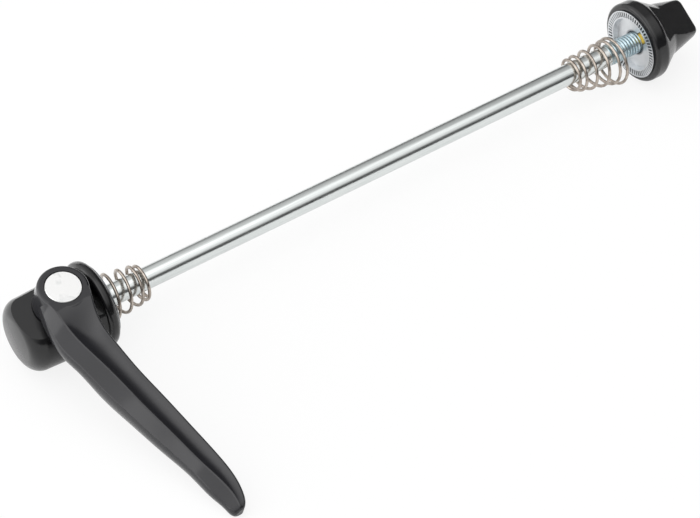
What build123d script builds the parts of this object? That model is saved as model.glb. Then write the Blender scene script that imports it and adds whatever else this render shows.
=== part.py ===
"""Quick release skewer with an enclosed cam, lying closed on a flat surface.

The rod runs along +X. The origin is where the rod's axis meets the clamp face on the lever side.
The lever turns about a pivot that crosses the rod's axis, and the nut screws along the rod's far end.
"""

import os
from math import asin, atan2, copysign, cos, hypot, pi, radians, sin, tan

from build123d import *

os.makedirs("parts", exist_ok=True)

# Rod, and the clear length between the two clamp faces
rod_diameter = 5.0
rod_end_chamfer = 0.6
grip_length = 147.7

# Housing: a barrel with a flange, and a flat seat under the lever's boss
pivot_setback = 9.8
barrel_back_reach = 11.4
barrel_back_radius = 8.3
barrel_front_radius = 8.95
barrel_round = 3.6
barrel_crown = 0.8
flange_radius = 10.0
flange_thickness = 2.6
flange_front_round = 1.4
flange_back_round = 0.8
seat_height = 6.0

# Cam shaft, and the flat eye of the rod that it pulls
cam_throw = 1.2
cam_radius = 2.8
journal_margin = 0.3
tail_radius = 2.2
tail_overhang = 0.6
tail_chamfer = 0.3
drive_radius = 3.7
eye_slack = 0.3
eye_side_gap = 0.15
eye_wall = 1.3
head_thickness = 5.0
head_corner = 1.5
head_edge_round = 0.5
cavity_corner = 0.5

# Washer under the boss, and the open ring that keeps the cam shaft in the housing
washer_thickness = 0.4
washer_margin = 0.4
ring_seat_depth = 6.1
ring_thickness = 0.5
ring_width = 1.3
ring_groove_depth = 0.5
ring_opening = 70.0
ring_pocket_margin = 0.5

# Lever boss on the pivot, and the cap let into its top
boss_base_radius = 6.5
boss_top_radius = 5.6
boss_top_height = 12.3
boss_edge_round = 0.7
cap_radius = 4.0
cap_gap = 0.15
cap_thickness = 0.8
cap_edge_chamfer = 0.12

# Lever arm, hollowed along its top for the finger, and its rounded tip
tip_reach = 61.9
tip_top = 6.5
tip_rim = 6.75
tip_ridge = 5.2
tip_back = 3.4
tip_underside = 3.0
tip_hollow = 0.05
tip_round = 1.2
arm_edge_round = 0.45
brow_inset = 0.3
heel_inset = 0.9
toe_inset = 0.3
swing_margin = 0.8

# Sections of the arm: share of the reach, top, rim, ridge, back, underside and depth of the hollow
arm_sections = (
    (0.00, 12.36, 4.9, -5.0, -6.1, 5.2, 0.05),
    (0.045, 12.36, 4.9, -4.85, -6.8, 5.2, 0.05),
    (0.09, 12.2, 4.05, -4.5, -7.3, 5.2, 0.1),
    (0.135, 11.6, 3.35, -4.35, -7.5, 5.2, 0.5),
    (0.18, 11.05, 3.05, -3.9, -7.5, 5.2, 0.85),
    (0.27, 10.6, 3.3, -2.75, -6.35, 4.8, 0.85),
    (0.37, 10.2, 3.85, -1.45, -5.1, 3.4, 0.8),
    (0.51, 9.8, 5.05, -0.1, -3.2, tip_underside, 0.75),
    (0.67, 9.0, 6.55, 1.9, -0.9, tip_underside, 0.7),
    (0.80, 8.3, 7.7, 3.5, 1.05, tip_underside, 0.6),
    (0.90, 7.6, 8.05, 5.0, 2.1, tip_underside, 0.35),
    (0.955, 6.9, 7.6, 5.4, 3.0, tip_underside, 0.15),
)
tip_turns = (40.0, 72.0)

# Clamp faces of the housing and the nut
face_stand = 0.4
clamp_radius = 8.5
clamp_thickness = 2.4
dish_radius = 6.6
dish_slope = 0.3
dish_depth = 1.3
rod_hole_gap = 0.2
serration_count = 60
serration_length = 1.4
serration_width = 0.5
serration_depth = 0.3
serration_edge = 0.25
serration_taper = 30.0

# Conical springs, wound to the left, with closer turns at both ends
spring_wire = 0.75
spring_small_radius = 3.6
spring_large_radius = 5.85
spring_turns = 5.8
spring_points_per_turn = 10
spring_wire_sides = 6
spring_seat_gap = 0.05
spring_hang_gap = 0.15
lever_spring_length = 11.9
lever_spring_closing = 0.65
lever_spring_phase = 230.0
nut_spring_length = 13.75
nut_spring_closing = 0.47
nut_spring_phase = 289.0
nut_spring_setback = 4.7

# Nut: a flared body with two sloping thumb flats
nut_rim_radius = 9.9
nut_rim_width = 3.7
nut_front_round = 0.9
nut_back_round = 1.6
nut_waist_radius = 6.85
nut_waist_reach = 8.4
nut_waist_round = 3.0
nut_end_radius = 4.7
nut_length = 17.2
nut_end_round = 1.8
blade_half_thickness = 1.6
blade_slope = 26.0
blade_base_reach = 4.4
blade_base_round = 1.6
blade_edge_round = 0.7
nut_roll = 31.0

# Threaded insert of the nut, and the pellet that grips the thread
hub_radius = 5.4
hub_length = 5.0
thread_engagement = 5.5
thread_gap = 0.06
thread_chamfer = 0.3
nut_bore_gap = 0.3
nut_screw_in = 6.4
nut_bottom_gap = 0.8
pellet_width = 3.0
pellet_reach = 4.2
pellet_depth = 2.5
pellet_recess = 0.2
pellet_turn = 98.4

# Clearances: between turning or sliding pieces, round pressed pieces, and round the rod's eye
running_gap = 0.05
seat_gap = 0.02
cavity_gap = 0.25

# Sizes that follow from the ones above
rod_radius = rod_diameter / 2
rod_end_reach = grip_length + thread_engagement
thread_bore_radius = rod_radius + thread_gap
flange_front = -face_stand
flange_back = flange_front - flange_thickness
barrel_back = -(pivot_setback + barrel_back_reach)
journal_radius = cam_throw + cam_radius + journal_margin
eye_half_length = cam_radius + eye_slack
eye_half_width = cam_radius + cam_throw + eye_side_gap
head_half_length = eye_half_length + eye_wall
head_half_width = eye_half_width + eye_wall
rod_start = -pivot_setback - cam_throw + eye_half_length + eye_wall / 2
cavity_half_height = head_thickness / 2 + cavity_gap
cavity_half_width = head_half_width + cavity_gap
cavity_depth = pivot_setback + cam_throw + head_half_length + cavity_gap
boss_base_height = seat_height + washer_thickness + running_gap
cap_seat_height = boss_top_height - cap_thickness
drive_top = cap_seat_height - running_gap
ring_top = -ring_seat_depth - running_gap
ring_inner_radius = tail_radius - ring_groove_depth
ring_outer_radius = ring_inner_radius + ring_width
tail_end = ring_top - ring_thickness - tail_overhang
swing_radius = hypot(barrel_back_reach, barrel_back_radius / 2) + swing_margin
dish_floor_radius = dish_radius - dish_slope
nut_front = grip_length + face_stand
nut_end = grip_length + nut_length
nut_bore_depth = thread_engagement + nut_screw_in + nut_bottom_gap

# The skewer rests on its flange, the rim of its nut and the rounded underside of the lever's tip
tip_centre_reach = tip_reach - tip_round
tip_centre_height = tip_underside + tip_round
tip_distance = hypot(tip_centre_reach, tip_centre_height)
tip_drop_angle = asin((flange_radius - tip_round) / tip_distance)
lie_angle = tip_drop_angle + atan2(tip_centre_height, tip_centre_reach)
pivot_up = (0, -sin(lie_angle), cos(lie_angle))
pivot_plane = Plane(origin=(-pivot_setback, 0, 0), x_dir=(1, 0, 0), z_dir=pivot_up)
pivot_axis = Axis(pivot_plane.origin, pivot_plane.z_dir)

# The nut has been rolled about the rod, which turns its thumb flats
roll = radians(nut_roll)
blade_plane = Plane(origin=(0, 0, 0), x_dir=(1, 0, 0), z_dir=(0, -cos(roll), -sin(roll)))


def across_rod(x):
    """Plane square to the rod at x, with its own Y along the pivot."""
    return Plane(origin=(x, 0, 0), x_dir=pivot_plane.y_dir, z_dir=(1, 0, 0))


def nut_face_plane(x, turn=0.0):
    """Plane square to the rod at x that faces the lever, its own X turned from the thumb flats."""
    angle = radians(nut_roll + turn)
    return Plane(origin=(x, 0, 0), x_dir=(0, cos(angle), sin(angle)), z_dir=(-1, 0, 0))


def arm_plane(reach):
    """Plane across the lever's arm: its own X runs along the rod and its own Y up the pivot."""
    origin = pivot_plane.origin - pivot_plane.y_dir * reach
    return Plane(origin=origin, x_dir=(1, 0, 0), z_dir=-pivot_plane.y_dir)


def tip_section(turn):
    """Section of the arm's rounded tip, set in along a quarter circle."""
    inset = tip_round * (1 - cos(radians(turn)))
    reach = tip_reach - tip_round * (1 - sin(radians(turn)))
    top = tip_top - inset
    underside = tip_underside + inset
    return (reach / tip_reach, top, tip_rim - inset, tip_ridge, tip_back + inset, underside, tip_hollow)


def serrations(face_plane):
    """Outlines of the radial grooves round a clamp face."""
    mid_radius = clamp_radius - serration_edge - serration_length / 2
    with BuildSketch(face_plane) as grooves:
        with PolarLocations(mid_radius, serration_count):
            Rectangle(serration_length, serration_width)
    return grooves.sketch


def hang_drop(coil_radius):
    """How far below the rod's axis a coil's centre lies where the coil hangs on the rod."""
    return coil_radius - spring_wire / 2 - rod_radius - spring_hang_gap


def coil_points(small_end, large_end, closing, phase, large_drop):
    """Centre line of a spring, from its small end, which hangs on the rod, to its large end."""
    count = round(spring_turns * spring_points_per_turn)
    small_drop = hang_drop(spring_small_radius)
    winding = copysign(2 * pi * spring_turns, small_end - large_end)
    points = []
    for step in range(count + 1):
        share = step / count
        along = share - closing * sin(2 * pi * share) / (2 * pi)
        radius = spring_small_radius + (spring_large_radius - spring_small_radius) * share
        drop = small_drop + (large_drop - small_drop) * share
        turn = radians(phase) + winding * share
        x = small_end + (large_end - small_end) * along
        points.append((x, radius * cos(turn), radius * sin(turn) - drop))
    return points


# Housing
with BuildPart() as cam_housing:
    with BuildSketch(Plane.XZ) as profile:
        with BuildLine():
            crown_edge = (barrel_back + barrel_crown, barrel_back_radius)
            crown = TangentArc((barrel_back, 0), crown_edge, tangent=(0, 1))
            outline = FilletPolyline(
                crown @ 1,
                (flange_back, barrel_front_radius),
                (flange_back, flange_radius),
                (flange_front, flange_radius),
                (flange_front, 0),
                radius=[0, flange_back_round, flange_front_round],
            )
            Line(outline @ 1, crown @ 0)
        make_face()
        fillet(profile.vertices().sort_by_distance(crown @ 1)[0], barrel_round)
    revolve(axis=Axis.X)
    # Flat seat for the lever's boss, open at the back and stopped by the flange
    with BuildSketch(pivot_plane.offset(seat_height)):
        with Locations((flange_back + pivot_setback, 0)):
            Rectangle(2 * barrel_back_reach, 2 * flange_radius, align=(Align.MAX, Align.CENTER))
    extrude(amount=flange_radius, mode=Mode.SUBTRACT)
    # Pocket for the clamp ring, and the flat cavity that the rod's eye slides in
    with BuildSketch(across_rod(flange_front)):
        Circle(clamp_radius + seat_gap)
    extrude(amount=-(clamp_thickness - face_stand), mode=Mode.SUBTRACT)
    with BuildSketch(across_rod(flange_front)):
        RectangleRounded(2 * cavity_half_width, 2 * cavity_half_height, cavity_corner)
    extrude(amount=-(cavity_depth - face_stand), mode=Mode.SUBTRACT)
    # Bearings of the cam shaft, and the pocket of its open ring
    with BuildSketch(pivot_plane):
        Circle(journal_radius + running_gap)
    extrude(amount=flange_radius, mode=Mode.SUBTRACT)
    with BuildSketch(pivot_plane):
        Circle(tail_radius + running_gap)
    extrude(amount=-flange_radius, mode=Mode.SUBTRACT)
    with BuildSketch(pivot_plane.offset(-ring_seat_depth)):
        Circle(ring_outer_radius + ring_pocket_margin)
    extrude(amount=-flange_radius, mode=Mode.SUBTRACT)
cam_housing.part.label = "cam_housing"
export_step(cam_housing.part, "parts/cam_housing.step")

# Serrated clamp ring, pressed into the flange
with BuildPart() as lever_clamp_ring:
    with BuildSketch(Plane.XZ):
        with BuildLine():
            Polyline(
                (-clamp_thickness, rod_radius + rod_hole_gap),
                (-clamp_thickness, clamp_radius),
                (0, clamp_radius),
                (0, dish_radius),
                (-dish_depth, dish_floor_radius),
                (-dish_depth, rod_radius + rod_hole_gap),
                close=True,
            )
        make_face()
    revolve(axis=Axis.X)
    grooves = serrations(across_rod(0))
    extrude(grooves, -serration_depth, taper=serration_taper, mode=Mode.SUBTRACT)
lever_clamp_ring.part.label = "lever_clamp_ring"
export_step(lever_clamp_ring.part, "parts/lever_clamp_ring.step")

# Washer between the housing and the lever's boss
with BuildPart() as pivot_washer:
    with BuildSketch(pivot_plane.offset(seat_height)):
        Circle(boss_base_radius - washer_margin)
        Circle(journal_radius + running_gap, mode=Mode.SUBTRACT)
    extrude(amount=washer_thickness)
pivot_washer.part.label = "pivot_washer"
export_step(pivot_washer.part, "parts/pivot_washer.step")

# Cam shaft: a tail in the far wall, the cam in the rod's eye, a journal and a six-sided drive
with BuildPart() as cam_shaft:
    with BuildSketch(pivot_plane.offset(tail_end)):
        Circle(tail_radius)
    extrude(amount=-cavity_half_height - tail_end)
    chamfer(cam_shaft.faces().sort_by(pivot_axis)[0].edges(), tail_chamfer)
    with BuildSketch(pivot_plane.offset(ring_top - ring_thickness)):
        Circle(tail_radius)
        Circle(ring_inner_radius, mode=Mode.SUBTRACT)
    extrude(amount=ring_thickness, mode=Mode.SUBTRACT)
    with BuildSketch(pivot_plane.offset(-cavity_half_height)):
        with Locations((-cam_throw, 0)):
            Circle(cam_radius)
    extrude(amount=2 * cavity_half_height)
    with BuildSketch(pivot_plane.offset(cavity_half_height)):
        Circle(journal_radius)
    extrude(amount=boss_base_height - cavity_half_height)
    with BuildSketch(pivot_plane.offset(boss_base_height)):
        RegularPolygon(drive_radius, 6)
    extrude(amount=drive_top - boss_base_height)
cam_shaft.part.label = "cam_shaft"
export_step(cam_shaft.part, "parts/cam_shaft.step")

# Open ring in the groove of the shaft's tail
with BuildPart() as retaining_ring:
    with BuildSketch(pivot_plane.offset(ring_top - ring_thickness)):
        Circle(ring_outer_radius)
        Circle(ring_inner_radius, mode=Mode.SUBTRACT)
        with BuildLine():
            mouth = CenterArc((0, 0), 2 * ring_outer_radius, -ring_opening / 2, ring_opening)
            Line((0, 0), mouth @ 0)
            Line(mouth @ 1, (0, 0))
        make_face(mode=Mode.SUBTRACT)
    extrude(amount=ring_thickness)
retaining_ring.part.label = "retaining_ring"
export_step(retaining_ring.part, "parts/retaining_ring.step")

# Lever: the arm, the boss round the pivot, the socket of the drive and the seat of the cap
with BuildPart() as lever:
    tip_sections = tuple(tip_section(turn) for turn in tip_turns)
    for share, top, rim, ridge, back, underside, hollow in arm_sections + tip_sections:
        third = (top - underside) / 3
        with BuildSketch(arm_plane(share * tip_reach)) as section:
            with BuildLine():
                scoop = SagittaArc((rim, top), (ridge, top), hollow)
                slope = Line(scoop @ 1, (back + brow_inset, top - third))
                flank = ThreePointArc(slope @ 1, (back, underside + third), (back + heel_inset, underside))
                sole = Line(flank @ 1, (rim - toe_inset, underside))
                Line(sole @ 1, scoop @ 0)
            make_face()
            fillet(section.vertices(), arm_edge_round)
    loft()
    split(bisect_by=pivot_plane.offset(boss_top_height), keep=Keep.BOTTOM)
    with BuildSketch(arm_plane(0)):
        with BuildLine():
            boss = FilletPolyline(
                (0, boss_base_height),
                (boss_base_radius, boss_base_height),
                (boss_top_radius, boss_top_height),
                (0, boss_top_height),
                radius=[0, boss_edge_round],
            )
            Line(boss @ 1, boss @ 0)
        make_face()
    revolve(axis=pivot_axis)
    # Room for the housing under the root of the arm as the lever swings
    with BuildSketch(pivot_plane.offset(boss_base_height)):
        Circle(swing_radius)
    extrude(amount=-boss_base_height, mode=Mode.SUBTRACT)
    with BuildSketch(pivot_plane.offset(boss_base_height)):
        RegularPolygon(drive_radius + seat_gap, 6)
    extrude(amount=boss_top_height, mode=Mode.SUBTRACT)
    with BuildSketch(pivot_plane.offset(cap_seat_height)):
        Circle(cap_radius + cap_gap)
    extrude(amount=boss_top_height, mode=Mode.SUBTRACT)
lever.part.label = "lever"
export_step(lever.part, "parts/lever.step")

# Cap that closes the top of the boss
with BuildPart() as pivot_cap:
    with BuildSketch(pivot_plane.offset(cap_seat_height)):
        Circle(cap_radius)
    extrude(amount=cap_thickness)
    chamfer(pivot_cap.faces().sort_by(pivot_axis)[-1].edges(), cap_edge_chamfer)
pivot_cap.part.label = "pivot_cap"
export_step(pivot_cap.part, "parts/pivot_cap.step")

# Rod with a flat eye round the cam
with BuildPart() as skewer_rod:
    with BuildSketch(pivot_plane.offset(-head_thickness / 2)):
        with Locations((-cam_throw, 0)):
            RectangleRounded(2 * head_half_length, 2 * head_half_width, head_corner)
    extrude(amount=head_thickness)
    head_faces = skewer_rod.faces().filter_by(pivot_axis)
    fillet(head_faces.edges(), head_edge_round)
    with BuildSketch(across_rod(rod_start)):
        Circle(rod_radius)
    extrude(amount=rod_end_reach - rod_start)
    chamfer(skewer_rod.faces().sort_by(Axis.X)[-1].edges(), rod_end_chamfer)
    with BuildSketch(pivot_plane):
        with Locations((-cam_throw, 0)):
            SlotOverall(2 * eye_half_width, 2 * eye_half_length, rotation=90)
    extrude(amount=head_thickness, both=True, mode=Mode.SUBTRACT)
skewer_rod.part.label = "skewer_rod"
export_step(skewer_rod.part, "parts/skewer_rod.step")

# Spring on the lever side, its large end centred in the dish of the clamp ring
lever_spring_seat = -dish_depth + spring_wire / 2 + spring_seat_gap
lever_spring_tip = lever_spring_seat + lever_spring_length
lever_spring_points = coil_points(
    lever_spring_tip, lever_spring_seat, lever_spring_closing, lever_spring_phase, large_drop=0
)
with BuildPart() as lever_spring:
    with BuildLine() as lever_coil:
        Spline(lever_spring_points)
    with BuildSketch(lever_coil.line ^ 0):
        RegularPolygon(spring_wire / 2, spring_wire_sides)
    sweep(is_frenet=True)
lever_spring.part.label = "lever_spring"
export_step(lever_spring.part, "parts/lever_spring.step")

# Spring on the nut side, hanging on the rod with its large end towards the nut
nut_spring_seat = grip_length - nut_spring_setback
nut_spring_tip = nut_spring_seat - nut_spring_length
nut_spring_drop = hang_drop(spring_large_radius)
nut_spring_points = coil_points(
    nut_spring_tip, nut_spring_seat, nut_spring_closing, nut_spring_phase, large_drop=nut_spring_drop
)
with BuildPart() as nut_spring:
    with BuildLine() as nut_coil:
        Spline(nut_spring_points)
    with BuildSketch(nut_coil.line ^ 0):
        RegularPolygon(spring_wire / 2, spring_wire_sides)
    sweep(is_frenet=True)
nut_spring.part.label = "nut_spring"
export_step(nut_spring.part, "parts/nut_spring.step")

# Nut body: turned form, thumb flats, then the seat of the insert and the blind bore
blade_base_height = blade_half_thickness + (nut_length - blade_base_reach) * tan(radians(blade_slope))
with BuildPart() as nut_body:
    with BuildSketch(Plane.XZ):
        with BuildLine():
            nut_outline = FilletPolyline(
                (nut_front, 0),
                (nut_front, nut_rim_radius),
                (grip_length + nut_rim_width, nut_rim_radius),
                (grip_length + nut_waist_reach, nut_waist_radius),
                (nut_end, nut_end_radius),
                (nut_end, 0),
                radius=[nut_front_round, nut_back_round, nut_waist_round, nut_end_round],
            )
            Line(nut_outline @ 1, nut_outline @ 0)
        make_face()
    revolve(axis=Axis.X)
    with BuildSketch(blade_plane):
        with BuildLine():
            thumb_flat = FilletPolyline(
                (grip_length + blade_base_reach, 2 * nut_rim_radius),
                (grip_length + blade_base_reach, blade_base_height),
                (nut_end, blade_half_thickness),
                (nut_end, 2 * nut_rim_radius),
                radius=[blade_base_round, 0],
            )
            Line(thumb_flat @ 1, thumb_flat @ 0)
        make_face()
        mirror(about=Plane.XZ)
    extrude(amount=nut_rim_radius, both=True, mode=Mode.SUBTRACT)
    thumb_flats = nut_body.faces().filter_by(GeomType.PLANE).filter_by(Axis.X, reverse=True)
    fillet(thumb_flats.edges(), blade_edge_round)
    with BuildSketch(nut_face_plane(nut_front)):
        Circle(clamp_radius + seat_gap)
    extrude(amount=-(clamp_thickness - face_stand), mode=Mode.SUBTRACT)
    with BuildSketch(nut_face_plane(grip_length)):
        Circle(hub_radius + seat_gap)
    extrude(amount=-(clamp_thickness + hub_length), mode=Mode.SUBTRACT)
    with BuildSketch(nut_face_plane(grip_length)):
        Circle(rod_radius + nut_bore_gap)
    extrude(amount=-nut_bore_depth, mode=Mode.SUBTRACT)
nut_body.part.label = "nut_body"
export_step(nut_body.part, "parts/nut_body.step")


def sketch_pellet(margin):
    """Outline of the lock pellet on a clamp face, from the thread outwards."""
    with Locations((pellet_reach + margin, 0)):
        Rectangle(pellet_reach + margin, pellet_width + 2 * margin, align=(Align.MAX, Align.CENTER))


# Serrated threaded insert, pressed into the nut body, with a slot for the pellet
with BuildPart() as nut_clamp_insert:
    with BuildSketch(Plane.XZ):
        with BuildLine():
            Polyline(
                (grip_length, clamp_radius),
                (grip_length + clamp_thickness, clamp_radius),
                (grip_length + clamp_thickness, hub_radius),
                (grip_length + clamp_thickness + hub_length, hub_radius),
                (grip_length + clamp_thickness + hub_length, thread_bore_radius),
                (grip_length + dish_depth + thread_chamfer, thread_bore_radius),
                (grip_length + dish_depth, thread_bore_radius + thread_chamfer),
                (grip_length + dish_depth, dish_floor_radius),
                (grip_length, dish_radius),
                close=True,
            )
        make_face()
    revolve(axis=Axis.X)
    grooves = serrations(nut_face_plane(grip_length))
    extrude(grooves, -serration_depth, taper=serration_taper, mode=Mode.SUBTRACT)
    pellet_plane = nut_face_plane(grip_length + dish_depth, pellet_turn)
    with BuildSketch(pellet_plane):
        sketch_pellet(seat_gap)
    extrude(amount=-pellet_depth, mode=Mode.SUBTRACT)
nut_clamp_insert.part.label = "nut_clamp_insert"
export_step(nut_clamp_insert.part, "parts/nut_clamp_insert.step")

# Pellet that grips the thread
with BuildPart() as nut_lock_pellet:
    with BuildSketch(pellet_plane.offset(-pellet_depth)):
        sketch_pellet(0)
        Circle(thread_bore_radius, mode=Mode.SUBTRACT)
    extrude(amount=pellet_depth - pellet_recess)
nut_lock_pellet.part.label = "nut_lock_pellet"
export_step(nut_lock_pellet.part, "parts/nut_lock_pellet.step")
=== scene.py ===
# %% [markdown]
# # A quick release skewer on a white table
#
# A skewer clamps a bicycle wheel into its frame: a steel rod goes through the hollow axle, a lever
# on one end pulls it tight with a cam, and a nut on the other end sets the grip. The solid parts
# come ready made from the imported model, in metres. This lesson dresses them: it winds the two
# springs from round wire, rolls the thread on the rod, and gives every piece its finish.

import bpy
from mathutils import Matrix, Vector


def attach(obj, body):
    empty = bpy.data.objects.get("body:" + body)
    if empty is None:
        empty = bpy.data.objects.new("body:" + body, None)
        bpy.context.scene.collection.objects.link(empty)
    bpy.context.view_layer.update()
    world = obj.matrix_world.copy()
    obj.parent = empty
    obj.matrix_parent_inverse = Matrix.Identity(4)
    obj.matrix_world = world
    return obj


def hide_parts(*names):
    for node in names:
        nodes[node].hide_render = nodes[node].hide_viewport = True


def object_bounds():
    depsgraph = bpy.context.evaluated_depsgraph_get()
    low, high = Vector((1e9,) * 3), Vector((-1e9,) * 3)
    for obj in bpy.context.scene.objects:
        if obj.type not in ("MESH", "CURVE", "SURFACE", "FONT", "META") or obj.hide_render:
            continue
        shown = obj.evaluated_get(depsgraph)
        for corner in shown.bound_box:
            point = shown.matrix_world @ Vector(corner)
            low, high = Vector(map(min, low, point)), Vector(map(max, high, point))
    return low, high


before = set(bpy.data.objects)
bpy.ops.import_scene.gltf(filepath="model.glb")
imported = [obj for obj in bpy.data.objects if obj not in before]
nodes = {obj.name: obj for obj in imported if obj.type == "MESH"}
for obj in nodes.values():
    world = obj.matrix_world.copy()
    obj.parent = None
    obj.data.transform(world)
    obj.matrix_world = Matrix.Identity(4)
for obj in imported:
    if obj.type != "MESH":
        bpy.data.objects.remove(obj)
cad_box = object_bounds()
print("loaded", len(nodes), "solid pieces")
print("their box", [[round(v, 4) for v in corner] for corner in cad_box])

# %% [markdown]
# ## Colours, nodes and objects
#
# Colours are picked as sRGB hex values, the way a colour picker shows them. Shaders calculate in
# linear light, so one function converts them. A second small function adds a node to a material
# with its settings, its input values and its links, so each finish below reads as a short recipe.
# Three more start a finish, put it on the solid pieces, and bring a new object into the scene.

# %% Helpers for every piece
from math import cos, pi, radians, sin

import bmesh
import bpy
from mathutils import Quaternion, Vector

MM = 0.001


def linear(hex_colour):
    """Linear RGBA of an sRGB hex colour such as "#a0b1c2"."""
    channels = [int(hex_colour[i:i + 2], 16) / 255 for i in (1, 3, 5)]
    return [c / 12.92 if c <= 0.04045 else ((c + 0.055) / 1.055) ** 2.4 for c in channels] + [1.0]


def add_node(tree, kind, inputs=(), stops=(), **settings):
    """Adds a node. Inputs are pairs of a socket and a value or a link, stops are the places and
    hex colours of a colour ramp, and settings are the node's options."""
    node = tree.nodes.new(kind)
    for option, value in settings.items():
        setattr(node, option, value)
    for socket, value in inputs:
        if isinstance(value, bpy.types.NodeSocket):
            tree.links.new(value, node.inputs[socket])
        else:
            node.inputs[socket].default_value = value
    for stop, (position, hex_colour) in enumerate(stops):
        node.color_ramp.elements[stop].position = position
        node.color_ramp.elements[stop].color = linear(hex_colour)
    return node


def start_finish(name):
    """A new material with an empty node tree."""
    material = bpy.data.materials.new(name)
    material.use_nodes = True
    material.node_tree.nodes.clear()
    return material, material.node_tree


def dress(material, *names):
    """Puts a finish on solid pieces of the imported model."""
    for name in names:
        nodes[name].material_slots[0].material = material


def add_object(name, data):
    """A new object in the scene, made from a mesh, a curve, a light or a camera."""
    thing = bpy.data.objects.new(name, data)
    bpy.context.scene.collection.objects.link(thing)
    return thing


print("the lever's charcoal in linear light:", [round(c, 4) for c in linear("#222226")])

# %% [markdown]
# ## Gloss black paint
#
# The housing and the nut are aluminium, powder coated and lacquered. The pigment is nearly black,
# so what the eye reads is the clear lacquer over it: sharp reflections, softened a little by the
# faint waviness that a sprayed coat has, called orange peel. The Principled shader's coat layer
# makes the lacquer, and a fine noise bends its normals. At the very middle of the housing's crowned
# end the smooth normals pinch together, so there the paint takes the true normals of the faces.

# %% Paint of the housing and the nut
orange_peel_mm, pigment_cloud_mm = 0.9, 6.0
end_middle_mm = -21.178
gloss_black, tree = start_finish("gloss_black_paint")
place = add_node(tree, "ShaderNodeTexCoord")
shape = add_node(tree, "ShaderNodeNewGeometry")
axes = add_node(tree, "ShaderNodeSeparateXYZ", [("Vector", place.outputs["Object"])])
middle = add_node(tree, "ShaderNodeMath", [
    (0, axes.outputs["X"]), (1, end_middle_mm * MM)], operation="LESS_THAN")
facing = add_node(tree, "ShaderNodeMixRGB", [
    ("Fac", middle.outputs["Value"]),
    ("Color1", shape.outputs["Normal"]), ("Color2", shape.outputs["True Normal"])])
peel = add_node(tree, "ShaderNodeTexNoise", [
    ("Vector", place.outputs["Object"]), ("Scale", 1 / (orange_peel_mm * MM)), ("Detail", 2.0)])
ripple = add_node(tree, "ShaderNodeBump", [
    ("Height", peel.outputs["Fac"]), ("Strength", 0.08), ("Distance", 0.05 * MM),
    ("Normal", facing.outputs["Color"])])
cloud = add_node(tree, "ShaderNodeTexNoise", [
    ("Vector", place.outputs["Object"]), ("Scale", 1 / (pigment_cloud_mm * MM)), ("Detail", 3.0)])
tone = add_node(tree, "ShaderNodeValToRGB", [
    ("Fac", cloud.outputs["Fac"])], stops=[(0.0, "#0d0d0e"), (1.0, "#161618")])
paint = add_node(tree, "ShaderNodeBsdfPrincipled", [
    ("Base Color", tone.outputs["Color"]), ("Roughness", 0.4),
    ("Specular IOR Level", 0.1), ("IOR", 1.5),
    ("Coat Weight", 1.0), ("Coat Roughness", 0.07), ("Coat IOR", 1.45),
    ("Normal", ripple.outputs["Normal"]), ("Coat Normal", ripple.outputs["Normal"])])
add_node(tree, "ShaderNodeOutputMaterial", [("Surface", paint.outputs["BSDF"])])
dress(gloss_black, "cam_housing", "nut_body")
print("gloss black paint on the housing and the nut, orange peel", orange_peel_mm, "mm across")

# %% [markdown]
# ## Charcoal lacquer of the lever
#
# The lever is forged aluminium, dyed dark and lacquered. Its colour is a cool charcoal, a touch
# lighter than the painted pieces, and its coat is a little softer, so the highlights spread along
# the hollow instead of standing as sharp mirror images. The recipe is the paint's, but it is a
# material of its own, so that its colour and its shine can be set apart from the housing's.

# %% Lacquer of the lever
dye_cloud_mm, lacquer_wave_mm = 9.0, 1.2
charcoal, tree = start_finish("charcoal_lacquer")
place = add_node(tree, "ShaderNodeTexCoord")
cloud = add_node(tree, "ShaderNodeTexNoise", [
    ("Vector", place.outputs["Object"]), ("Scale", 1 / (dye_cloud_mm * MM)), ("Detail", 3.0)])
tone = add_node(tree, "ShaderNodeValToRGB", [
    ("Fac", cloud.outputs["Fac"])], stops=[(0.0, "#19191c"), (1.0, "#222226")])
wave = add_node(tree, "ShaderNodeTexNoise", [
    ("Vector", place.outputs["Object"]), ("Scale", 1 / (lacquer_wave_mm * MM)), ("Detail", 1.0)])
ripple = add_node(tree, "ShaderNodeBump", [
    ("Height", wave.outputs["Fac"]), ("Strength", 0.05), ("Distance", 0.05 * MM)])
lacquer = add_node(tree, "ShaderNodeBsdfPrincipled", [
    ("Base Color", tone.outputs["Color"]), ("Roughness", 0.4),
    ("Specular IOR Level", 0.15), ("IOR", 1.5),
    ("Coat Weight", 1.0), ("Coat Roughness", 0.11), ("Coat IOR", 1.45),
    ("Coat Normal", ripple.outputs["Normal"])])
add_node(tree, "ShaderNodeOutputMaterial", [("Surface", lacquer.outputs["BSDF"])])
dress(charcoal, "lever")
print("charcoal lacquer on the lever")

# %% [markdown]
# ## Bright drawn steel
#
# The rod is drawn through a die, which leaves very fine lines along it and a bright, slightly soft
# shine. Stretching a noise along the rod's X axis draws those lines. The real ones are a few
# hundredths of a millimetre apart, too fine for this picture, so they are drawn about five times
# as coarse.

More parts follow.
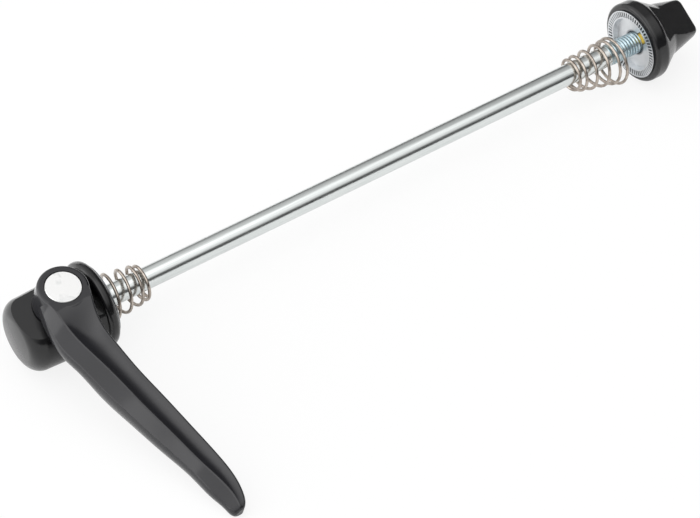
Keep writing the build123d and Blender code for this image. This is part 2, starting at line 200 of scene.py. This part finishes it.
# %% Steel of the rod
drawn_line_mm, line_stretch = 0.15, 50
drawn_steel, tree = start_finish("bright_drawn_steel")
place = add_node(tree, "ShaderNodeTexCoord")
stretch = add_node(tree, "ShaderNodeMapping", [
    ("Vector", place.outputs["Object"]), ("Scale", (1 / line_stretch, 1.0, 1.0))])
lines = add_node(tree, "ShaderNodeTexNoise", [
    ("Vector", stretch.outputs["Vector"]), ("Scale", 1 / (drawn_line_mm * MM)), ("Detail", 3.0)])
tone = add_node(tree, "ShaderNodeValToRGB", [
    ("Fac", lines.outputs["Fac"])], stops=[(0.3, "#d3d8d7"), (0.7, "#e6e9e8")])
gloss = add_node(tree, "ShaderNodeMapRange", [
    ("Value", lines.outputs["Fac"]), ("From Min", 0.3), ("From Max", 0.7),
    ("To Min", 0.15), ("To Max", 0.26)])
scratch = add_node(tree, "ShaderNodeBump", [
    ("Height", lines.outputs["Fac"]), ("Strength", 0.08), ("Distance", 0.02 * MM)])
steel = add_node(tree, "ShaderNodeBsdfPrincipled", [
    ("Base Color", tone.outputs["Color"]), ("Metallic", 1.0),
    ("Roughness", gloss.outputs["Result"]), ("Normal", scratch.outputs["Normal"])])
add_node(tree, "ShaderNodeOutputMaterial", [("Surface", steel.outputs["BSDF"])])
dress(drawn_steel, "skewer_rod")
print("drawn steel on the rod, lines", drawn_line_mm, "mm apart")

# %% [markdown]
# ## Spring wire
#
# The springs are cold drawn wire, browned a little by the heat treatment after coiling. Round wire
# is a curve with a round bevel: it follows the coil's centre line, and Blender sweeps the circle.
# The coil is a formula, so it is worked out here: the radius grows from the small end to the large
# one, the turns close up at both ends, and each coil hangs on the rod by its own weight. A Screw
# modifier could wind a plain coil, but not turns that close up.

# %% Finish of the wire
heat_patch_mm, wire_pit_mm = 1.5, 0.2
spring_steel, tree = start_finish("browned_spring_wire")
place = add_node(tree, "ShaderNodeTexCoord")
patch = add_node(tree, "ShaderNodeTexNoise", [
    ("Vector", place.outputs["Object"]), ("Scale", 1 / (heat_patch_mm * MM)), ("Detail", 3.0)])
tone = add_node(tree, "ShaderNodeValToRGB", [
    ("Fac", patch.outputs["Fac"])], stops=[(0.35, "#978d84"), (0.65, "#c3b9af")])
pits = add_node(tree, "ShaderNodeTexNoise", [
    ("Vector", place.outputs["Object"]), ("Scale", 1 / (wire_pit_mm * MM)), ("Detail", 2.0)])
bite = add_node(tree, "ShaderNodeBump", [
    ("Height", pits.outputs["Fac"]), ("Strength", 0.1), ("Distance", 0.02 * MM)])
wire = add_node(tree, "ShaderNodeBsdfPrincipled", [
    ("Base Color", tone.outputs["Color"]), ("Metallic", 1.0), ("Roughness", 0.23),
    ("Normal", bite.outputs["Normal"])])
add_node(tree, "ShaderNodeOutputMaterial", [("Surface", wire.outputs["BSDF"])])
print("spring wire finish ready, heat patches", heat_patch_mm, "mm across")

# %% Wind the springs
rod_radius = 2.5 * MM
wire_radius = 0.375 * MM
small_coil, large_coil, coil_turns = 3.6 * MM, 5.85 * MM, 5.8
hang_gap = 0.15 * MM
coil_steps = 28


def hang_drop(coil_radius):
    """How far a coil's centre lies below the rod's axis where the coil hangs on the rod."""
    return coil_radius - wire_radius - rod_radius - hang_gap


def wind_spring(name, small_end, large_end, closing, phase, large_drop):
    """A conical spring of round wire between two places along the rod. Closing draws the end turns
    together, phase is where the small end starts in degrees, and large_drop is how far the large
    end's centre lies below the rod's axis."""
    count = round(coil_turns * coil_steps)
    winding = 2 * pi * coil_turns * (1 if small_end > large_end else -1)
    curve = bpy.data.curves.new(name, "CURVE")
    curve.dimensions = "3D"
    curve.bevel_depth = wire_radius
    curve.bevel_resolution = 4
    curve.use_fill_caps = True
    spline = curve.splines.new("POLY")
    spline.points.add(count)
    for step in range(count + 1):
        share = step / count
        along = share - closing * sin(2 * pi * share) / (2 * pi)
        radius = small_coil + (large_coil - small_coil) * share
        drop = hang_drop(small_coil) * (1 - share) + large_drop * share
        turn = radians(phase) + winding * share
        spline.points[step].co = (
            small_end + (large_end - small_end) * along,
            radius * cos(turn), radius * sin(turn) - drop, 1)
    sweep = add_object(name, curve)
    bpy.context.view_layer.update()
    swept = sweep.evaluated_get(bpy.context.evaluated_depsgraph_get())
    mesh = bpy.data.meshes.new_from_object(swept)
    bpy.data.objects.remove(sweep)
    mesh.materials.clear()
    mesh.materials.append(spring_steel)
    print(name, len(mesh.polygons), "faces")
    return add_object(name, mesh)


lever_coil = wind_spring(
    "lever_spring_wire", small_end=11.025 * MM, large_end=-0.875 * MM,
    closing=0.65, phase=230.0, large_drop=0.0)
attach(lever_coil, "housing")
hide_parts("lever_spring")
nut_coil = wind_spring(
    "nut_spring_wire", small_end=129.25 * MM, large_end=143.0 * MM,
    closing=0.47, phase=289.0, large_drop=hang_drop(large_coil))
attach(nut_coil, "nut_carrier")
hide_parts("nut_spring")

# %% [markdown]
# ## Rolled thread
#
# The end of the rod is rolled between dies, which raises a ridge that winds round it, and the
# thread is zinc plated with a bluish cast. Bump in a material would leave the outline of the rod
# plain, so the ridge is a mesh: a strip with a flat top and two slopes, swept along a right-handed
# helix and faded out at its start, where the dies let go.

# %% Zinc finish of the thread
zinc_bloom_mm = 0.8
zinc, tree = start_finish("blue_zinc_plate")
place = add_node(tree, "ShaderNodeTexCoord")
bloom = add_node(tree, "ShaderNodeTexNoise", [
    ("Vector", place.outputs["Object"]), ("Scale", 1 / (zinc_bloom_mm * MM)), ("Detail", 3.0)])
tone = add_node(tree, "ShaderNodeValToRGB", [
    ("Fac", bloom.outputs["Fac"])], stops=[(0.35, "#9fb8c2"), (0.7, "#c8d8dd")])
plate = add_node(tree, "ShaderNodeBsdfPrincipled", [
    ("Base Color", tone.outputs["Color"]), ("Metallic", 1.0), ("Roughness", 0.28)])
add_node(tree, "ShaderNodeOutputMaterial", [("Surface", plate.outputs["BSDF"])])
print("zinc finish ready, bloom", zinc_bloom_mm, "mm across")

# %% Roll the thread
thread_pitch = 0.8 * MM
thread_start, thread_end = 140.2 * MM, 152.5 * MM
thread_steps = 40
fade_in_turns, fade_out_turns = 1.2, 0.5
# The ridge's section in mm: places along the rod, and heights over the rod's surface
ridge = ((-0.40, -0.03), (-0.09, 0.14), (0.09, 0.14), (0.40, -0.03))

ridge_mesh = bmesh.new()
turns = (thread_end - thread_start) / thread_pitch
last_row = None
for step in range(round(turns * thread_steps) + 1):
    turn = step / thread_steps
    angle = 2 * pi * turn
    fade = min(1.0, turn / fade_in_turns, max(0.0, (turns - turn) / fade_out_turns))
    row = []
    for along, rise in ridge:
        spot = thread_start + turn * thread_pitch + along * MM
        radius = rod_radius + (rise if rise < 0 else rise * fade) * MM
        row.append(ridge_mesh.verts.new((spot, radius * cos(angle), radius * sin(angle))))
    if last_row:
        for a in range(len(ridge) - 1):
            ridge_mesh.faces.new((last_row[a], last_row[a + 1], row[a + 1], row[a]))
    last_row = row
bmesh.ops.recalc_face_normals(ridge_mesh, faces=ridge_mesh.faces)
thread_mesh = bpy.data.meshes.new("rod_thread")
ridge_mesh.to_mesh(thread_mesh)
ridge_mesh.free()
thread_mesh.materials.append(zinc)
thread = add_object("rod_thread", thread_mesh)
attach(thread, "rod")
print("thread of", round(turns, 1), "turns,", len(thread_mesh.polygons), "faces")

# %% [markdown]
# ## Serrated clamp faces
#
# The rings that bite into the frame are aluminium, turned on a lathe. The tool leaves fine rings
# round the rod's axis, drawn here by a wave over the distance from that axis. The metal's colour
# carries painted shade: it is darkened close to the axis, where the hole round the rod lies in
# shade, and wherever the serrations lie deeper than the clamp face, in the shade of the teeth.
# The two faces lie at different places along the rod, so one function makes a finish for each.

# %% Turned aluminium of the clamp faces
tool_mark_mm, stain_mm = 0.18, 2.5
serrations_from_mm, face_slack_mm = 6.75, 0.06
# Painted shade round the rod's hole: where it starts and ends from the axis, and how dark it gets.
hole_shade_from_mm, hole_shade_to_mm, hole_shade_share = 2.9, 3.4, 0.95


def turned_aluminium(name, face_mm):
    """Aluminium turned round the rod's axis, with painted shade in the serrations below the face at
    face_mm and close to the axis.
    """
    material, tree = start_finish(name)
    place = add_node(tree, "ShaderNodeTexCoord")
    flat = add_node(tree, "ShaderNodeMapping", [
        ("Vector", place.outputs["Object"]), ("Scale", (0.0, 1.0, 1.0))])
    reach = add_node(tree, "ShaderNodeVectorMath", [
        (0, flat.outputs["Vector"])], operation="LENGTH")
    rings = add_node(tree, "ShaderNodeMath", [
        (0, reach.outputs["Value"]), (1, 2 * pi / (tool_mark_mm * MM))], operation="MULTIPLY")
    marks = add_node(tree, "ShaderNodeMath", [(0, rings.outputs["Value"])], operation="SINE")
    groove = add_node(tree, "ShaderNodeBump", [
        ("Height", marks.outputs["Value"]), ("Strength", 0.12), ("Distance", 0.02 * MM)])
    axes = add_node(tree, "ShaderNodeSeparateXYZ", [("Vector", place.outputs["Object"])])
    on_face = add_node(tree, "ShaderNodeMath", [
        (0, axes.outputs["X"]), (1, face_mm * MM), (2, face_slack_mm * MM)], operation="COMPARE")
    outside = add_node(tree, "ShaderNodeMath", [
        (0, reach.outputs["Value"]), (1, serrations_from_mm * MM)], operation="GREATER_THAN")
    # Painted shade: serrations that lie deeper than the clamp face are darkened.
    painted_serration_shade = add_node(tree, "ShaderNodeMath", [
        (0, outside.outputs["Value"]), (1, on_face.outputs["Value"])],
        operation="SUBTRACT", use_clamp=True)
    # Painted shade close to the axis, where the hole round the rod lies in shade.
    painted_hole_shade = add_node(tree, "ShaderNodeMapRange", [
        ("Value", reach.outputs["Value"]),
        ("From Min", hole_shade_from_mm * MM), ("From Max", hole_shade_to_mm * MM),
        ("To Min", hole_shade_share), ("To Max", 0.0)])
    painted_shade = add_node(tree, "ShaderNodeMath", [
        (0, painted_serration_shade.outputs["Value"]), (1, painted_hole_shade.outputs["Result"])], operation="MAXIMUM")
    stain = add_node(tree, "ShaderNodeTexNoise", [
        ("Vector", place.outputs["Object"]), ("Scale", 1 / (stain_mm * MM)), ("Detail", 3.0)])
    tone = add_node(tree, "ShaderNodeValToRGB", [
        ("Fac", stain.outputs["Fac"])], stops=[(0.0, "#d4d7da"), (1.0, "#eaecee")])
    # The painted shade mixes the metal's tone towards a dark grey.
    shaded_tone = add_node(tree, "ShaderNodeMixRGB", [
        ("Fac", painted_shade.outputs["Value"]),
        ("Color1", tone.outputs["Color"]), ("Color2", linear("#5d6064"))])
    alloy = add_node(tree, "ShaderNodeBsdfPrincipled", [
        ("Base Color", shaded_tone.outputs["Color"]), ("Metallic", 1.0), ("Roughness", 0.38),
        ("Normal", groove.outputs["Normal"])])
    add_node(tree, "ShaderNodeOutputMaterial", [("Surface", alloy.outputs["BSDF"])])
    return material


for name, face_mm in (("lever_clamp_ring", 0.0), ("nut_clamp_insert", 147.7)):
    dress(turned_aluminium(name + "_aluminium", face_mm), name)
print("turned aluminium on both clamp faces, tool marks", tool_mark_mm, "mm apart")

# %% [markdown]
# ## Small pieces
#
# The cap on the boss is polished aluminium, almost white, with a faint smear. The pellet that grips
# the thread is yellow nylon, which lets a little light in; its edges are darkened by painted shade,
# the shade of the slot it sits in. The washer is black acetal, and the cam shaft with its ring is
# ground steel. Only the cap and the pellet show, but the others turn up when the part is taken
# apart. Each is so small that a soft noise in its colour or its roughness is enough to take away
# the look of bare computer shading.

# %% Polished cap
polish_swirl_mm, smear_mm = 0.4, 4.0
polished, tree = start_finish("polished_aluminium")
place = add_node(tree, "ShaderNodeTexCoord")
swirl = add_node(tree, "ShaderNodeTexNoise", [
    ("Vector", place.outputs["Object"]), ("Scale", 1 / (polish_swirl_mm * MM)), ("Detail", 4.0)])
shine = add_node(tree, "ShaderNodeMapRange", [
    ("Value", swirl.outputs["Fac"]), ("To Min", 0.16), ("To Max", 0.3)])
smear = add_node(tree, "ShaderNodeTexNoise", [
    ("Vector", place.outputs["Object"]), ("Scale", 1 / (smear_mm * MM)), ("Detail", 2.0),
    ("Distortion", 0.4)])
tone = add_node(tree, "ShaderNodeValToRGB", [
    ("Fac", smear.outputs["Fac"])], stops=[(0.3, "#dfe1e0"), (0.42, "#f8f8f7")])
cap = add_node(tree, "ShaderNodeBsdfPrincipled", [
    ("Base Color", tone.outputs["Color"]), ("Metallic", 1.0),
    ("Roughness", shine.outputs["Result"])])
add_node(tree, "ShaderNodeOutputMaterial", [("Surface", cap.outputs["BSDF"])])
dress(polished, "pivot_cap")
print("polished aluminium on the cap")

# %% Yellow nylon pellet
nylon_mottle_mm = 0.7
# Painted shade of the slot: the pellet darkens between these shares of its width, from its middle.
slot_shade_from, slot_shade_to = 0.26, 0.42  # shares of the pellet's width, from its middle
light_depth_mm = (0.4, 0.25, 0.1)  # how far red, green and blue light go in
nylon, tree = start_finish("yellow_nylon")
place = add_node(tree, "ShaderNodeTexCoord")
mottle = add_node(tree, "ShaderNodeTexNoise", [
    ("Vector", place.outputs["Object"]), ("Scale", 1 / (nylon_mottle_mm * MM)), ("Detail", 2.0)])
tone = add_node(tree, "ShaderNodeValToRGB", [
    ("Fac", mottle.outputs["Fac"])], stops=[(0.0, "#cfae3c"), (1.0, "#e2c555")])
across = add_node(tree, "ShaderNodeMapping", [
    ("Vector", place.outputs["Generated"]),
    ("Location", (0.0, -0.5, -0.5)), ("Scale", (0.0, 1.0, 1.0))])
from_middle = add_node(tree, "ShaderNodeVectorMath", [
    (0, across.outputs["Vector"])], operation="LENGTH")
painted_slot_shade = add_node(tree, "ShaderNodeMapRange", [
    ("Value", from_middle.outputs["Value"]), ("From Min", slot_shade_from), ("From Max", slot_shade_to)])
# Painted shade: the pellet's edges are mixed towards a dark olive.
slot_shaded_tone = add_node(tree, "ShaderNodeMixRGB", [
    ("Fac", painted_slot_shade.outputs["Result"]),
    ("Color1", tone.outputs["Color"]), ("Color2", linear("#4b4536"))])
pellet = add_node(tree, "ShaderNodeBsdfPrincipled", [
    ("Base Color", slot_shaded_tone.outputs["Color"]), ("Roughness", 0.42), ("IOR", 1.53),
    ("Subsurface Weight", 0.15), ("Subsurface Scale", 1.0),
    ("Subsurface Radius", [depth * MM for depth in light_depth_mm])])
add_node(tree, "ShaderNodeOutputMaterial", [("Surface", pellet.outputs["BSDF"])])
dress(nylon, "nut_lock_pellet")
print("yellow nylon on the pellet")

# %% Black acetal washer
acetal_mottle_mm = 0.5
acetal, tree = start_finish("black_acetal")
place = add_node(tree, "ShaderNodeTexCoord")
mottle = add_node(tree, "ShaderNodeTexNoise", [
    ("Vector", place.outputs["Object"]), ("Scale", 1 / (acetal_mottle_mm * MM)), ("Detail", 2.0)])
matt = add_node(tree, "ShaderNodeMapRange", [
    ("Value", mottle.outputs["Fac"]), ("To Min", 0.4), ("To Max", 0.55)])
washer = add_node(tree, "ShaderNodeBsdfPrincipled", [
    ("Base Color", linear("#17171a")), ("Roughness", matt.outputs["Result"]), ("IOR", 1.48)])
add_node(tree, "ShaderNodeOutputMaterial", [("Surface", washer.outputs["BSDF"])])
dress(acetal, "pivot_washer")
print("black acetal on the washer")

# %% Ground steel of the cam shaft and its ring
grinding_mm = 0.2
ground_steel, tree = start_finish("ground_steel")
place = add_node(tree, "ShaderNodeTexCoord")
ground = add_node(tree, "ShaderNodeTexNoise", [
    ("Vector", place.outputs["Object"]), ("Scale", 1 / (grinding_mm * MM)), ("Detail", 3.0)])
shine = add_node(tree, "ShaderNodeMapRange", [
    ("Value", ground.outputs["Fac"]), ("To Min", 0.22), ("To Max", 0.38)])
cam = add_node(tree, "ShaderNodeBsdfPrincipled", [
    ("Base Color", linear("#b9babc")), ("Metallic", 1.0), ("Roughness", shine.outputs["Result"])])
add_node(tree, "ShaderNodeOutputMaterial", [("Surface", cam.outputs["BSDF"])])
dress(ground_steel, "cam_shaft", "retaining_ring")
print("ground steel on the cam shaft and its ring")

# %% [markdown]
# ## White table
#
# The skewer lies on a white table inside a low white backdrop, a plain ring of wall. The table is
# lit like the object, which would leave it grey, and more light would burn out the metal. So for
# camera rays, and less for mirror rays, its material is mixed with a white glow. The shadow under
# the skewer stays as a faint trace.

# %% White of the table
camera_help, mirror_help = 0.85, 0.35
table_white, tree = start_finish("white_table")
rays = add_node(tree, "ShaderNodeLightPath")
mirrored = add_node(tree, "ShaderNodeMath", [
    (0, rays.outputs["Is Glossy Ray"]), (1, rays.outputs["Is Transmission Ray"])],
    operation="MAXIMUM")
faint = add_node(tree, "ShaderNodeMath", [
    (0, mirrored.outputs["Value"]), (1, mirror_help)], operation="MULTIPLY")
strong = add_node(tree, "ShaderNodeMath", [
    (0, rays.outputs["Is Camera Ray"]), (1, camera_help)], operation="MULTIPLY")
help_up = add_node(tree, "ShaderNodeMath", [
    (0, strong.outputs["Value"]), (1, faint.outputs["Value"])], operation="MAXIMUM")
lit = add_node(tree, "ShaderNodeBsdfDiffuse", [("Color", linear("#f4f4f4"))])
glow = add_node(tree, "ShaderNodeEmission", [("Color", linear("#ffffff")), ("Strength", 1.0)])
mixed = add_node(tree, "ShaderNodeMixShader", [
    ("Fac", help_up.outputs["Value"]), (1, lit.outputs["BSDF"]), (2, glow.outputs["Emission"])])
add_node(tree, "ShaderNodeOutputMaterial", [("Surface", mixed.outputs["Shader"])])
print("table white, helped up by", camera_help, "for the camera and", mirror_help, "for mirrors")

# %% Table and low backdrop
floor_level = cad_box[0][2]
table_half = 3.0
wall_radius, wall_height, wall_sides = 2.8, 0.13, 48

corners = [(-table_half, -table_half), (table_half, -table_half),
           (table_half, table_half), (-table_half, table_half)]
table_mesh = bpy.data.meshes.new("table")
table_mesh.from_pydata([(*corner, floor_level) for corner in corners], [], [(0, 1, 2, 3)])
table_mesh.materials.append(table_white)
table = add_object("table", table_mesh)

angles = [2 * pi * side / wall_sides for side in range(wall_sides)]
ring = [(wall_radius * cos(angle), wall_radius * sin(angle)) for angle in angles]
foot = [(*spot, floor_level) for spot in ring]
brim = [(*spot, floor_level + wall_height) for spot in ring]
panels = []
for side in range(wall_sides):
    after = (side + 1) % wall_sides
    panels.append((side, after, after + wall_sides, side + wall_sides))
wall_mesh = bpy.data.meshes.new("backdrop")
wall_mesh.from_pydata(foot + brim, [], panels)
wall_mesh.materials.append(table_white)
backdrop = add_object("backdrop", wall_mesh)
print("table at z =", round(floor_level, 5), "with a backdrop", wall_height, "m high")

# %% [markdown]
# ## Studio light
#
# Everything shiny mirrors its surroundings, so the light comes mostly from the world, which is
# painted by direction like a studio: a soft roof overhead, a bright wall to the left and behind,
# and a dark room to the front and right. The dark room draws the dark line along the rod and keeps
# the black pieces black. The nearer a direction lies to the wall's or the roof's own, the brighter
# it is, so the reflections have soft edges. One soft lamp on the left fills the sides that face it.

# %% Studio world
wall_direction, wall_dark, wall_bright = (-0.62, 0.30, 0.725), 0.08, 1.42
roof_direction, roof_bright = (0.10, -0.40, 0.911), 0.9
roof_from, roof_to = 0.7, 0.92
world = bpy.data.worlds.new("white_tent")
bpy.context.scene.world = world
world.use_nodes = True
tree = world.node_tree
tree.nodes.clear()
aim = add_node(tree, "ShaderNodeTexCoord")
wall_way = add_node(tree, "ShaderNodeVectorMath", [
    (0, aim.outputs["Generated"]), (1, wall_direction)], operation="DOT_PRODUCT")
wall = add_node(tree, "ShaderNodeMapRange", [
    ("Value", wall_way.outputs["Value"]), ("From Min", 0.0), ("From Max", 1.0),
    ("To Min", wall_dark), ("To Max", wall_bright)], interpolation_type="SMOOTHSTEP")
roof_way = add_node(tree, "ShaderNodeVectorMath", [
    (0, aim.outputs["Generated"]), (1, roof_direction)], operation="DOT_PRODUCT")
roof = add_node(tree, "ShaderNodeMapRange", [
    ("Value", roof_way.outputs["Value"]), ("From Min", roof_from), ("From Max", roof_to),
    ("To Min", 0.0), ("To Max", roof_bright)], interpolation_type="SMOOTHSTEP")
bright = add_node(tree, "ShaderNodeMath", [
    (0, wall.outputs["Result"]), (1, roof.outputs["Result"])], operation="ADD")
tent = add_node(tree, "ShaderNodeBackground", [
    ("Color", linear("#ffffff")), ("Strength", bright.outputs["Value"])])
add_node(tree, "ShaderNodeOutputWorld", [("Surface", tent.outputs["Background"])])
print("studio world from", wall_dark, "to", wall_bright, "bright, with a roof of", roof_bright)

# %% A soft lamp
softbox_width, softbox_height, softbox_watts = 1.2, 0.7, 2.6
softbox_place = Vector((-0.85, 0.4, 0.36))
lamp = bpy.data.lights.new("left_softbox", "AREA")
lamp.shape = "RECTANGLE"
lamp.size, lamp.size_y = softbox_width, softbox_height
lamp.energy = softbox_watts
softbox = add_object("left_softbox", lamp)
softbox.location = softbox_place
softbox.rotation_euler = (-softbox_place).to_track_quat("-Z", "Y").to_euler()
print("a soft lamp", round(softbox_place.length, 2), "m from the clamp face")

# %% [markdown]
# ## Camera
#
# The camera stands where the photograph was taken from: in front of the lever, high, and a little
# to its left, with a long lens that keeps the rod's taper small. Its place and direction were
# worked out from the rod's ends, the lever's tip and the nut's rim, and it is level but for a
# fraction of a degree.

# %% Camera
looking = Vector((0.4101, 0.5834, -0.7011))
roll_angle = -0.003
camera_data = bpy.data.cameras.new("camera")
camera_data.sensor_width = 36.0
camera_data.sensor_fit = "HORIZONTAL"
camera_data.lens = 148.3
camera_data.clip_end = 20.0
camera = add_object("camera", camera_data)
camera.location = (-0.2079, -0.3899, 0.4435)
camera.rotation_mode = "QUATERNION"
roll = Quaternion((0, 0, 1), roll_angle)
camera.rotation_quaternion = looking.to_track_quat("-Z", "Y") @ roll
bpy.context.scene.camera = camera
bpy.context.scene.view_settings.view_transform = "Standard"
print("camera", round(camera.location.length, 3), "m from the clamp face")
